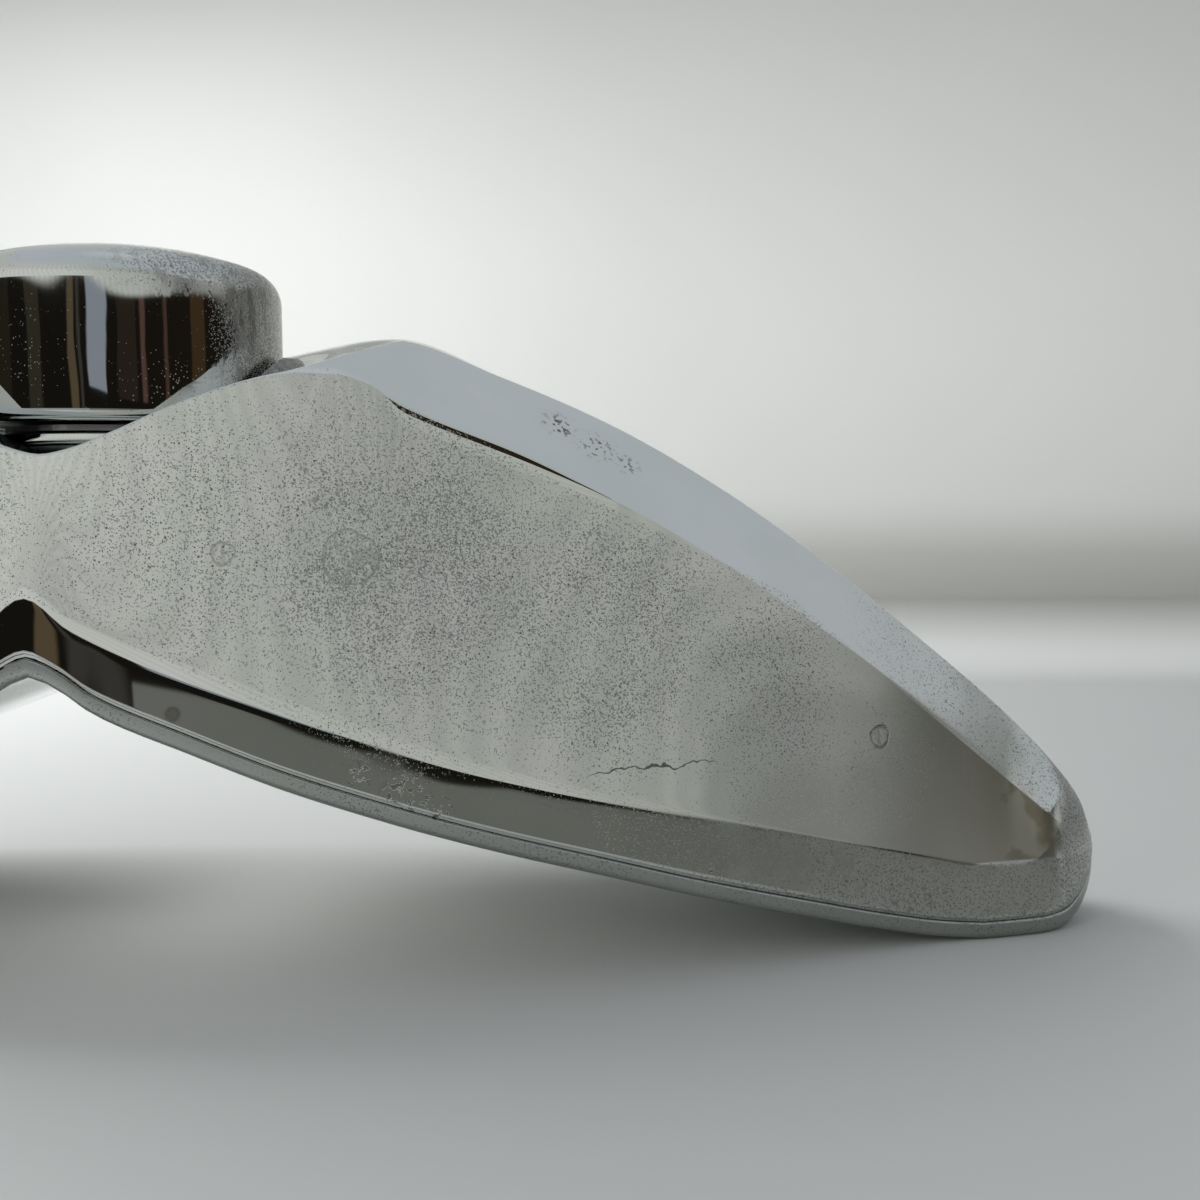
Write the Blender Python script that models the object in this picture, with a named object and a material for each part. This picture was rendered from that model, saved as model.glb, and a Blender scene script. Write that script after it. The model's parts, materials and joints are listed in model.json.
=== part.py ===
"""Two-winged chrome frame grip with a round turning cap, standing on its two wing tips.

Metres, +Z up. The origin is on the floor under the cap's axis, +X runs along the wings
and -Y is the front. The body is the same on both sides of the XZ and the YZ planes.
"""
import math

import bmesh
import bpy
from mathutils import Matrix, Vector

MM = 0.001

# ---- driving dimensions, in millimetres -------------------------------------------------
HALF_SPAN = 168.2          # cap axis to wing tip
WALL = 3.0                 # wall of the casting
SCOOP_SAG = 0.9            # how far the scooped face sinks behind its chord
COVER_THICK = 3.0          # underside cover
COVER_INSET = 0.5          # the cover's edge stands back from the casting's rim
GAP = 0.3                  # clearance between touching pieces
RIM_EDGE = 0.5             # bevel along the casting's lower edge
HUMP_SHARE = 0.9           # the rounded top takes at most this much of the depth to the crest
HUMP_MIDDLE = 0.5625       # height of the rounded top halfway out, as a share of its rise
HUMP_FOOT = 0.02           # the rounded top ends this much above the crest
LEAST_RIM = 0.6            # least height of the rim face
LEAST_SCOOP = 0.7          # least drop from the crest to the rim face
FOOT_FROM = 145.0          # the flat foot under each tip starts here
FOOT_TO = 157.0
CAVITY_REACH = 140.0       # the hollow ends here, short of the solid tip

CAP_RADIUS = 25.6
CAP_BOTTOM = 85.6
CAP_TOP = 115.5
CAP_TOP_ROUND = 5.5
CAP_TOP_ARC = 74           # degrees of the top rounding, up to the crowned top
CAP_LIP = 1.8              # rounding of the cap's lower edge
CAP_WALL = 2.2
CAP_CROWN = 3.0            # rise of the cap's top face from its rounding to its centre

POCKET_RADIUS = 27.4       # recess in the saddle that the cap turns in
POCKET_FLOOR = 80.0
BOSS_TOP = 84.0
BOSS_TOP_RADIUS = 20.5
BOSS_FOOT_RADIUS = 24.4
COLUMN_RADIUS = 12.0       # the boss goes on down inside the hollow
COLUMN_BOTTOM = 63.0
BORE_RADIUS = 7.6
GROOVE_MIDDLE = 13.0       # seal groove in the top of the boss
GROOVE_HALF_WIDTH = 1.4
GROOVE_DEPTH = 2.1
SEAL_RADIUS = 0.9          # of the seal ring's round section

SPINDLE_RADIUS = 5.0
SPINDLE_THREAD_RADIUS = 4.4
SPINDLE_LOW = 52.6
SPINDLE_STEP = 61.5        # top of the threaded end
SPINDLE_HEAD_RADIUS = 9.0
SPINDLE_HEAD_HEIGHT = 5.7
THREAD_CHAMFER = (0.6, 1.2)    # inwards and upwards, at the spindle's lower end
BUSH_INNER = 5.3
BUSH_OUTER = 7.3
BUSH_LENGTH = 9.0
THRUST_RADIUS = 19.6
THRUST_THICK = 0.9
FLAT_WASHER_RADIUS = 9.6
FLAT_WASHER = (60.2, 61.3)     # lower and upper face
WAVE_WASHER_RADIUS = 9.0
WAVE_WASHER = (61.9, 62.4)
WAVE_LIFT = 0.25
LOCK_NUT = (54.0, 59.9)
LOCK_NUT_FLAT = 8.0        # half the width across flats
HUB_HIGH = 96.0            # top of the collar that clamps the spindle in the cap
HUB_FLAT = 9.5

POST_RADIUS = 4.2          # screw posts inside the casting
POST_START = 5.8           # height of the posts' lower ends above the underside
SCREW_SHANK = 1.4
SCREW_HEAD = 2.8
SCREW_HEAD_HEIGHT = 1.5
SCREW_SEAT = 2.4           # depth of the screw seats in the cover
SCREW_LENGTH = 10.0
SCREW_PLACES = (46.0, 104.0)   # distance of the cover screws from the middle
PAD = (1.6, 5.5)           # height range of the cover's screw pads above the underside
PAD_RADIUS = 5.6

PLATE_LOW = CAP_BOTTOM + 0.5
PLATE_HIGH = PLATE_LOW + 2.0
PLATE_SCREW_RING = 15.5    # radius of the circle of the base plate's screws
PLATE_SCREW_LENGTH = 7.0
PLATE_SCREW_SHANK = 0.8
PLATE_SCREW_HEAD = 1.8
PLATE_SCREW_HEAD_HEIGHT = 0.8
PLATE_SEAT = 1.1           # depth of the screw seats in the base plate
CAP_POST_RADIUS = 3.2

CUT = 2.0                  # how far a cutting tool reaches past what it cuts
SIDES = 48                 # round pieces
SMALL_SIDES = 16
SCREW_SIDES = 10

PEAK = 47.8                # the front crest meets the wing's top ridge here
CREST_FALL = 0.12          # the crest lies this much below the ridge for each mm of depth
HUMP_WIDTH = 18.0          # half width of the rounded top of a wing

# Outlines of one wing: (distance from the middle, height), or depth where the name says so.
RIM = ((0, 42), (50, 38.8), (90, 31), (120, 21.8), (138, 16.3), (150, 13.6), (157, 11.6),
       (162, 8.9), (165.5, 5.8), (167.4, 3.0), (168.2, 1.0))
RIDGE = ((0, 93.2), (26, 97.4), (46, 100.7), (64, 94.3), (83, 86.1), (102, 75.2), (121, 61.8),
         (138, 48.2), (152, 36.2), (161, 27), (166, 20.2), (168.2, 14))
CREST = ((0, 80.2), (4, 81.0), (10.4, 83.7), (16.8, 86.9), (23.4, 89.7), (30, 92.0),
         (34.7, 93.3), (39.4, 95.5), (43.6, 97.6), (47.8, 99.4))
CREST_DEPTH = ((0, 35), (20, 30.8), (30, 27.3), (34.7, 25), (39.4, 20), (43.6, 14), (47.8, 9),
               (55, 4.5), (64, 1.5), (100, 1.5), (140, 0.5), (168.2, 0.3))
SCOOP_TOP = ((0, 79.8), (4, 80.6), (10.4, 83.3), (16.8, 86.5), (23.4, 89.3), (30, 91.6),
             (35.5, 92.5), (40.5, 92.5), (45.2, 91.2), (50, 88.3), (69, 80.5), (82, 74),
             (101, 63.2), (127, 45.4), (145, 31.0), (153.5, 23.4), (157, 20.2), (161, 19.3),
             (168.2, 19.0))
SCOOP_TOP_DEPTH = ((0, 35.2), (20, 31.0), (40, 24.2), (60, 19.6), (82, 16.2), (101, 13),
                   (127, 8.3), (145, 5.5), (151, 5.3), (154.5, 6.2), (157.5, 7.8),
                   (160, 6.9), (164, 4.3), (168.2, 0.5))
SCOOP_FOOT = ((0, 60.8), (6, 56.2), (15, 51.6), (24, 47.9), (54, 36.9), (66, 33), (81, 28.7),
              (101, 23.5), (120, 18.3), (137, 14.1), (145, 12.5), (150, 12.0), (154.3, 12.4),
              (157.5, 14.0), (159.4, 15.7), (162, 17.0), (168.2, 17.5))
BOTTOM = ((0, 48.5), (4, 46.7), (9, 43.1), (22, 37.3), (36, 31.4), (50, 26.5), (65, 21.7),
          (81, 16.9), (97, 12), (113, 7.3), (129, 2.9), (138, 0.9), (145, 0))
TIP_UNDER = ((157, 0), (160.5, 0.5), (163.5, 2.2), (166, 5.0), (168.2, 9.0))
RIM_LEAN = ((0, 5.5), (80, 10.5), (140, 11.5), (168.2, 11.5))     # degrees off upright


# ---- curves -----------------------------------------------------------------------------
def smooth(points, x):
    """Height at x on a smooth monotone curve through the points, level at x = 0."""
    x = min(max(x, points[0][0]), points[-1][0])
    count = len(points)
    chords = [(points[i + 1][1] - points[i][1]) / (points[i + 1][0] - points[i][0])
              for i in range(count - 1)]
    slopes = [0.0 if points[0][0] == 0 else chords[0]]
    for i in range(1, count - 1):
        before, after = chords[i - 1], chords[i]
        slopes.append(0.0 if before * after <= 0 else 2 * before * after / (before + after))
    slopes.append(chords[-1])
    i = next(k for k in range(count - 1) if x <= points[k + 1][0])
    step = points[i + 1][0] - points[i][0]
    t = (x - points[i][0]) / step
    return ((2 * t ** 3 - 3 * t ** 2 + 1) * points[i][1]
            + (t ** 3 - 2 * t ** 2 + t) * step * slopes[i]
            + (3 * t ** 2 - 2 * t ** 3) * points[i + 1][1]
            + (t ** 3 - t ** 2) * step * slopes[i + 1])


def bottom(x):
    """Height of the underside at distance x from the middle."""
    if x < FOOT_FROM:
        return smooth(BOTTOM, x)
    return smooth(TIP_UNDER, max(x, FOOT_TO))


def rim_depth(x):
    """Half depth of the lens-shaped rim at distance x from the middle."""
    return smooth(RIM, x)


def stations():
    """Distances from the middle where the wing gets a cross-section."""
    inner = [0, 4, 8, 12, 17, 22, 27, 31, 35, 39.4, 43.6, 47.8, 52, 57]
    outer = [57 + 9.5 * i for i in range(1, 10)]
    tip = [146, 149.5, 152.5, 155, 157.5, 159.4, 162, 164.5, 166.5, 167.6, HALF_SPAN]
    return [float(x) for x in inner + outer + tip]


def scoop_lines(x):
    """Crest, scoop top and scoop foot of the cross-section at x, each (depth, height)."""
    low = bottom(x) + COVER_THICK + GAP
    rim = rim_depth(x)
    crest_depth = min(smooth(CREST_DEPTH, x), 0.3 * rim) if x > PEAK else smooth(CREST_DEPTH, x)
    crest_height = smooth(CREST, x) if x < PEAK else smooth(RIDGE, x) - CREST_FALL * crest_depth
    crest = (crest_depth, crest_height)
    foot_height = min(max(smooth(SCOOP_FOOT, x), low + LEAST_RIM), crest[1] - LEAST_SCOOP)
    lean = math.tan(math.radians(smooth(RIM_LEAN, x)))
    foot = (max(rim - (foot_height - low) * lean, 0.5 * rim), foot_height)
    top_height = min(max(smooth(SCOOP_TOP, x), foot_height + 0.3), crest[1] - 0.3)
    top = (min(smooth(SCOOP_TOP_DEPTH, x), foot[0] - 0.1), top_height)
    return crest, top, foot, low, rim


def front_outline(x):
    """Outer cross-section at distance x, front half, ridge first: (depth, height) pairs."""
    crest, top, foot, low, rim = scoop_lines(x)
    ridge = smooth(RIDGE, x)
    hump = min(HUMP_WIDTH, crest[0] * HUMP_SHARE)
    points = [(0.0, ridge), (hump * 0.5, crest[1] + HUMP_MIDDLE * (ridge - crest[1])),
              (hump, crest[1] + HUMP_FOOT), crest, top]
    sag = SCOOP_SAG * min((top[1] - foot[1]) / 40.0, 1.0)
    for t in (0.25, 0.5, 0.75):
        bow = sag * 4 * t * (1 - t)
        points.append((top[0] + (foot[0] - top[0]) * t - bow, top[1] + (foot[1] - top[1]) * t))
    points += [foot, (rim, low + RIM_EDGE), (rim - RIM_EDGE, low)]
    return points


def cavity_outline(x):
    """Cavity cross-section at distance x, front half, running out below the casting."""
    crest, top, foot, low, rim = scoop_lines(x)
    ceiling = min(smooth(RIDGE, x) - 2.0 * WALL, crest[1] - 1.6 * WALL)
    if x < POCKET_RADIUS + WALL + CUT:
        ceiling = min(ceiling, POCKET_FLOOR - 1.5 * WALL)
    points = [(0.0, ceiling)]
    for t in (0.0, 0.2, 0.5, 0.8):
        depth = top[0] + (foot[0] - top[0]) * t - 1.6 * WALL
        height = min(top[1] + (foot[1] - top[1]) * t, ceiling) - 0.4
        points.append((max(depth, 1.0), height))
    points.append((rim - 2.2 * WALL, foot[1] - 1.0))
    points.append((rim - 2.2 * WALL, low - WALL))
    return points


# ---- mesh helpers -----------------------------------------------------------------------
def make_object(name, bm, material=None, smooth_angle=None):
    """Turn a bmesh, in millimetres, into an object in metres."""
    bmesh.ops.scale(bm, vec=Vector((MM, MM, MM)), verts=bm.verts)
    bmesh.ops.recalc_face_normals(bm, faces=bm.faces)
    mesh = bpy.data.meshes.new(name)
    bm.to_mesh(mesh)
    bm.free()
    obj = bpy.data.objects.new(name, mesh)
    bpy.context.collection.objects.link(obj)
    if material:
        mesh.materials.append(material)
    if smooth_angle:
        mesh.shade_smooth()
        mesh.set_sharp_from_angle(angle=math.radians(smooth_angle))
    return obj


def loft(bm, rings):
    """Join closed rings of points into one closed body."""
    levels = [[bm.verts.new(point) for point in ring] for ring in rings]
    count = len(levels[0])
    for one, two in zip(levels, levels[1:]):
        for i in range(count):
            j = (i + 1) % count
            bm.faces.new((one[i], one[j], two[j], two[i]))
    bm.faces.new(levels[0])
    bm.faces.new(list(reversed(levels[-1])))


def wing_rings(outline, reach):
    """Full closed rings from one wing tip to the other."""
    rings = []
    places = [x for x in stations() if x <= reach]
    for x in [-x for x in reversed(places[1:])] + places:
        front = outline(abs(x))
        ring = [(x, -depth, height) for depth, height in front]
        ring += [(x, depth, height) for depth, height in reversed(front[1:])]
        rings.append(ring)
    return rings


def turned(bm, profile, sides=SIDES, centre=(0.0, 0.0)):
    """Turn a closed (radius, height) profile about a vertical axis."""
    start = len(bm.verts)
    rings = []
    for i in range(sides):
        angle = 2 * math.pi * i / sides
        ring = []
        for radius, height in profile:
            spot = (centre[0] + radius * math.cos(angle), centre[1] + radius * math.sin(angle), height)
            ring.append(bm.verts.new(spot))
        rings.append(ring)
    count = len(profile)
    for i in range(sides):
        one, two = rings[i], rings[(i + 1) % sides]
        for j in range(count):
            k = (j + 1) % count
            bm.faces.new((one[j], one[k], two[k], two[j]))
    bm.verts.ensure_lookup_table()
    bmesh.ops.remove_doubles(bm, verts=bm.verts[start:], dist=1e-5)
    return bm


def rod(bm, radius, low, high, sides=SMALL_SIDES, centre=(0.0, 0.0)):
    """Plain upright cylinder."""
    matrix = Matrix.Translation((centre[0], centre[1], (low + high) / 2))
    bmesh.ops.create_cone(bm, cap_ends=True, segments=sides, radius1=radius, radius2=radius,
                          depth=high - low, matrix=matrix)


def tube(bm, inner, outer, low, high, sides=SMALL_SIDES, centre=(0.0, 0.0)):
    """Plain upright tube."""
    turned(bm, [(inner, low), (outer, low), (outer, high), (inner, high)], sides, centre)


def ring_body(bm, sections):
    """Join a closed loop of closed sections into one ring-shaped body."""
    rings = [[bm.verts.new(point) for point in section] for section in sections]
    count = len(rings[0])
    for i, one in enumerate(rings):
        two = rings[(i + 1) % len(rings)]
        for j in range(count):
            k = (j + 1) % count
            bm.faces.new((one[j], one[k], two[k], two[j]))


def hex_collar(bm, inner, flat, low, high):
    """Hexagon collar with a round bore; flat is half the width across its flats."""
    sections = []
    for i in range(SMALL_SIDES):
        angle = 2 * math.pi * i / SMALL_SIDES
        outer = flat / math.cos((angle + math.pi / 6) % (math.pi / 3) - math.pi / 6)
        corners = ((inner, low), (outer, low), (outer, high), (inner, high))
        sections.append([(r * math.cos(angle), r * math.sin(angle), z) for r, z in corners])
    ring_body(bm, sections)


def arc(centre, radius, start, end, steps):
    """Points on an arc of a profile; angles in degrees from +radius towards +height."""
    points = []
    for i in range(steps + 1):
        angle = math.radians(start + (end - start) * i / steps)
        points.append((centre[0] + radius * math.cos(angle), centre[1] + radius * math.sin(angle)))
    return points


def combine(target, name, bm, operation):
    """Join a tool body to the target, or cut it away."""
    tool = make_object(name, bm)
    tool.hide_render = True
    tool.display_type = "WIRE"
    modifier = target.modifiers.new(name, "BOOLEAN")
    modifier.operation = operation
    modifier.object = tool
    modifier.solver = "EXACT"


def paint(name, colour, roughness, metallic):
    """Principled material of one node."""
    material = bpy.data.materials.new(name)
    material.use_nodes = True
    shader = material.node_tree.nodes["Principled BSDF"]
    shader.inputs["Base Color"].default_value = (*colour, 1.0)
    shader.inputs["Roughness"].default_value = roughness
    shader.inputs["Metallic"].default_value = metallic
    return material


CHROME = ((0.80, 0.81, 0.80), 0.12, 1.0)
STEEL = ((0.62, 0.62, 0.60), 0.35, 1.0)
BRASS = ((0.72, 0.55, 0.28), 0.35, 1.0)
RUBBER = ((0.03, 0.03, 0.03), 0.8, 0.0)


# ---- body -------------------------------------------------------------------------------
def screw_spots():
    """Centres of the four cover screws."""
    return [(side * place, 0.0) for side in (-1, 1) for place in SCREW_PLACES]


def build_wing_shell():
    """Hollow two-winged casting with its saddle pocket, boss and screw posts."""
    bm = bmesh.new()
    loft(bm, wing_rings(front_outline, HALF_SPAN))
    shell = make_object("wing_shell", bm, paint("wing_shell", *CHROME), 28)

    bm = bmesh.new()
    loft(bm, wing_rings(cavity_outline, CAVITY_REACH))
    combine(shell, "cut_cavity", bm, "DIFFERENCE")

    bm = bmesh.new()
    rod(bm, POCKET_RADIUS, POCKET_FLOOR, CAP_TOP, SIDES)
    combine(shell, "cut_pocket", bm, "DIFFERENCE")

    bm = bmesh.new()
    flare = arc((BOSS_FOOT_RADIUS, BOSS_TOP), BOSS_FOOT_RADIUS - BOSS_TOP_RADIUS, 270, 180, 4)
    profile = [(0.0, COLUMN_BOTTOM), (COLUMN_RADIUS, COLUMN_BOTTOM),
               (COLUMN_RADIUS, POCKET_FLOOR - WALL), (BOSS_FOOT_RADIUS, POCKET_FLOOR - WALL)]
    profile += [(radius, height) for radius, height in flare] + [(0.0, BOSS_TOP)]
    turned(bm, profile)
    combine(shell, "add_boss", bm, "UNION")

    bm = bmesh.new()
    for centre in screw_spots():
        low = bottom(abs(centre[0])) + POST_START
        high = smooth(RIDGE, abs(centre[0])) - 1.2 * WALL
        rod(bm, POST_RADIUS, low, high, SMALL_SIDES, centre)
    combine(shell, "add_posts", bm, "UNION")

    bm = bmesh.new()
    rod(bm, BORE_RADIUS, COLUMN_BOTTOM - CUT, CAP_TOP, SMALL_SIDES)
    combine(shell, "cut_bore", bm, "DIFFERENCE")

    bm = bmesh.new()
    tube(bm, GROOVE_MIDDLE - GROOVE_HALF_WIDTH, GROOVE_MIDDLE + GROOVE_HALF_WIDTH,
         BOSS_TOP - GROOVE_DEPTH, BOSS_TOP + CUT, SIDES)
    combine(shell, "cut_seal_groove", bm, "DIFFERENCE")

    bm = bmesh.new()
    for centre in screw_spots():
        low = bottom(abs(centre[0]))
        rod(bm, SCREW_SHANK + GAP, low, low + SCREW_LENGTH + 2 * CUT, SMALL_SIDES, centre)
    combine(shell, "cut_screw_holes", bm, "DIFFERENCE")


def cover_ring(x):
    """Cross-section of the underside cover at distance x, front half, top first."""
    low = bottom(x)
    rim = rim_depth(x) - COVER_INSET
    return [(0.0, low + COVER_THICK), (rim, low + COVER_THICK), (rim, low + 1.0),
            (rim - 0.3, low + 0.3), (rim - min(1.0, 0.5 * rim), low), (0.0, low)]


def build_underside_cover():
    """Closing plate that follows the lower rim, with pads where its screws go."""
    bm = bmesh.new()
    rings = []
    places = [x for x in stations() if x < HALF_SPAN]
    places = sorted(places + [FOOT_FROM, FOOT_TO])
    for x in [-x for x in reversed(places[1:])] + places:
        front = cover_ring(abs(x))
        ring = [(x, -depth, height) for depth, height in front]
        ring += [(x, depth, height) for depth, height in reversed(front[1:-1])]
        rings.append(ring)
    loft(bm, rings)
    cover = make_object("underside_cover", bm, paint("underside_cover", *CHROME), 28)

    bm = bmesh.new()
    for centre in screw_spots():
        low = bottom(abs(centre[0]))
        rod(bm, PAD_RADIUS, low + PAD[0], low + PAD[1], SMALL_SIDES, centre)
    combine(cover, "add_pads", bm, "UNION")

    bm = bmesh.new()
    for centre in screw_spots():
        low = bottom(abs(centre[0]))
        rod(bm, SCREW_SHANK + GAP, low - CUT, low + PAD[1] + CUT, SMALL_SIDES, centre)
    combine(cover, "cut_screw_holes", bm, "DIFFERENCE")

    bm = bmesh.new()
    for centre in screw_spots():
        low = bottom(abs(centre[0]))
        rod(bm, SCREW_HEAD + GAP, low - 2 * CUT, low + SCREW_SEAT, SMALL_SIDES, centre)
    combine(cover, "cut_screw_seats", bm, "DIFFERENCE")


def add_screw(bm, centre, seat, length, head_radius, shank_radius, head_height):
    """One pan-head screw pointing up from its seat, with a domed head below it."""
    profile = [(0.0, seat - head_height), (head_radius * 0.6, seat - head_height),
               (head_radius, seat - head_height * 0.6), (head_radius, seat),
               (shank_radius, seat), (shank_radius, seat + length - 1.0),
               (shank_radius * 0.3, seat + length), (0.0, seat + length)]
    turned(bm, profile, SCREW_SIDES, centre)


def build_cover_screws():
    """Four screws that hold the underside cover."""
    for number, centre in enumerate(screw_spots(), 1):
        name = f"cover_screw_{number}"
        seat = bottom(abs(centre[0])) + SCREW_SEAT - GAP / 2
        bm = bmesh.new()
        add_screw(bm, centre, seat, SCREW_LENGTH, SCREW_HEAD, SCREW_SHANK, SCREW_HEAD_HEIGHT)
        make_object(name, bm, paint(name, *STEEL), 30)


# ---- cap --------------------------------------------------------------------------------
def plate_screw_spots():
    """Centres of the three screws that hold the cap's base plate."""
    angles = [math.radians(30 + 120 * i) for i in range(3)]
    return [(PLATE_SCREW_RING * math.cos(a), PLATE_SCREW_RING * math.sin(a)) for a in angles]


def build_cap_shell():
    """Thick round cap, a cup open below, with three screw posts inside."""
    radius = CAP_RADIUS
    shoulder = CAP_TOP - CAP_CROWN
    profile = [(radius - CAP_WALL, CAP_BOTTOM + 0.2)]
    profile += arc((radius - CAP_LIP, CAP_BOTTOM + CAP_LIP), CAP_LIP, 270, 360, 3)
    profile += arc((radius - CAP_TOP_ROUND, shoulder - CAP_TOP_ROUND), CAP_TOP_ROUND,
                   0, CAP_TOP_ARC, 6)
    edge, rise = profile[-1][0], CAP_TOP - profile[-1][1]
    profile += [(edge * t, CAP_TOP - rise * t * t) for t in (0.75, 0.5, 0.25, 0.0)]
    roof = CAP_TOP - CAP_CROWN - CAP_WALL
    inside = radius - CAP_WALL
    corner = CAP_TOP_ROUND - CAP_WALL
    profile += [(0.0, roof)]
    profile += arc((inside - corner, roof - corner), corner, 90, 0, 3)
    bm = bmesh.new()
    turned(bm, profile)
    cap = make_object("cap_shell", bm, paint("cap_shell", *CHROME), 40)

    bm = bmesh.new()
    for centre in plate_screw_spots():
        rod(bm, CAP_POST_RADIUS, PLATE_HIGH + GAP, roof + 1.0, SMALL_SIDES, centre)
    combine(cap, "add_cap_posts", bm, "UNION")

    bm = bmesh.new()
    for centre in plate_screw_spots():
        rod(bm, PLATE_SCREW_SHANK + GAP, PLATE_HIGH - CUT, PLATE_HIGH + PLATE_SCREW_LENGTH,
            SMALL_SIDES, centre)
    combine(cap, "cut_cap_post_holes", bm, "DIFFERENCE")


def build_cap_base_plate():
    """Plate that closes the cap from below and sits round the spindle."""
    bm = bmesh.new()
    tube(bm, SPINDLE_RADIUS + GAP, CAP_RADIUS - CAP_WALL - GAP, PLATE_LOW, PLATE_HIGH, SIDES)
    plate = make_object("cap_base_plate", bm, paint("cap_base_plate", *STEEL), 30)

    bm = bmesh.new()
    for centre in plate_screw_spots():
        rod(bm, PLATE_SCREW_SHANK + GAP, PLATE_LOW - CUT, PLATE_HIGH + CUT, SMALL_SIDES, centre)
    combine(plate, "cut_plate_holes", bm, "DIFFERENCE")

    bm = bmesh.new()
    for centre in plate_screw_spots():
        rod(bm, PLATE_SCREW_HEAD + GAP, PLATE_LOW - CUT, PLATE_LOW + PLATE_SEAT, SMALL_SIDES, centre)
    combine(plate, "cut_plate_seats", bm, "DIFFERENCE")


def build_base_plate_screws():
    """Three small screws up through the base plate into the cap's posts."""
    for number, centre in enumerate(plate_screw_spots(), 1):
        name = f"cap_plate_screw_{number}"
        bm = bmesh.new()
        add_screw(bm, centre, PLATE_LOW + PLATE_SEAT - 0.2, PLATE_SCREW_LENGTH, PLATE_SCREW_HEAD,
                  PLATE_SCREW_SHANK, PLATE_SCREW_HEAD_HEIGHT)
        make_object(name, bm, paint(name, *STEEL), 30)


def build_hub_insert():
    """Collar inside the cap that clamps the spindle under its head."""
    bm = bmesh.new()
    hex_collar(bm, SPINDLE_RADIUS + GAP, HUB_FLAT, PLATE_HIGH + GAP, HUB_HIGH)
    make_object("hub_insert", bm, paint("hub_insert", *BRASS))


def build_spindle():
    """Shouldered spindle with a round head inside the cap and a threaded lower end."""
    head_low = HUB_HIGH + GAP
    head_high = head_low + SPINDLE_HEAD_HEIGHT
    profile = [(0.0, SPINDLE_LOW), (SPINDLE_THREAD_RADIUS - THREAD_CHAMFER[0], SPINDLE_LOW),
               (SPINDLE_THREAD_RADIUS, SPINDLE_LOW + THREAD_CHAMFER[1]),
               (SPINDLE_THREAD_RADIUS, SPINDLE_STEP),
               (SPINDLE_RADIUS, SPINDLE_STEP + 0.8), (SPINDLE_RADIUS, head_low),
               (SPINDLE_HEAD_RADIUS, head_low), (SPINDLE_HEAD_RADIUS, head_high - 1.0),
               (SPINDLE_HEAD_RADIUS - 0.8, head_high), (0.0, head_high)]
    bm = bmesh.new()
    turned(bm, profile, SMALL_SIDES)
    make_object("spindle", bm, paint("spindle", *STEEL), 30)


def build_washers():
    """Thrust washer in the visible gap, and the two washers under the boss column."""
    bm = bmesh.new()
    washer_low = BOSS_TOP + GAP
    tube(bm, BUSH_INNER, THRUST_RADIUS, washer_low, washer_low + THRUST_THICK, SIDES)
    make_object("thrust_washer", bm, paint("thrust_washer", *STEEL), 30)

    sections = []
    for i in range(SMALL_SIDES):
        angle = 2 * math.pi * i / SMALL_SIDES
        lift = WAVE_LIFT * math.cos(3 * angle)
        corners = [(radius, height) for height in WAVE_WASHER
                   for radius in (BUSH_INNER, WAVE_WASHER_RADIUS)]
        corners = [corners[0], corners[1], corners[3], corners[2]]
        sections.append([(r * math.cos(angle), r * math.sin(angle), z + lift) for r, z in corners])
    bm = bmesh.new()
    ring_body(bm, sections)
    make_object("wave_washer", bm, paint("wave_washer", *STEEL), 30)

    bm = bmesh.new()
    tube(bm, BUSH_INNER, FLAT_WASHER_RADIUS, *FLAT_WASHER)
    make_object("flat_washer", bm, paint("flat_washer", *STEEL), 30)


def build_seal_ring():
    """Rubber ring in the groove of the boss."""
    bm = bmesh.new()
    turned(bm, arc((GROOVE_MIDDLE, BOSS_TOP - 1.0), SEAL_RADIUS, 0, 315, 7), SMALL_SIDES * 2)
    make_object("seal_ring", bm, paint("seal_ring", *RUBBER), 50)


def build_bushes():
    """Two plain bushes in the bore of the boss."""
    places = (("lower_bush", COLUMN_BOTTOM + GAP), ("upper_bush", BOSS_TOP - BUSH_LENGTH - GAP))
    for name, low in places:
        bm = bmesh.new()
        tube(bm, BUSH_INNER, BUSH_OUTER, low, low + BUSH_LENGTH)
        make_object(name, bm, paint(name, *BRASS), 30)


def build_lock_nut():
    """Hexagon nut on the spindle's lower end."""
    bm = bmesh.new()
    hex_collar(bm, SPINDLE_THREAD_RADIUS + GAP, LOCK_NUT_FLAT, *LOCK_NUT)
    make_object("lock_nut", bm, paint("lock_nut", *STEEL), 30)


def main():
    for obj in list(bpy.data.objects):
        bpy.data.objects.remove(obj, do_unlink=True)
    build_wing_shell()
    build_underside_cover()
    build_cover_screws()
    build_cap_shell()
    build_cap_base_plate()
    build_base_plate_screws()
    build_hub_insert()
    build_spindle()
    build_washers()
    build_seal_ring()
    build_bushes()
    build_lock_nut()


main()
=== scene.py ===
"""Looks of the two-winged chrome frame grip: finer shells, pitted chrome, studio light."""
import json
import math

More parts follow.
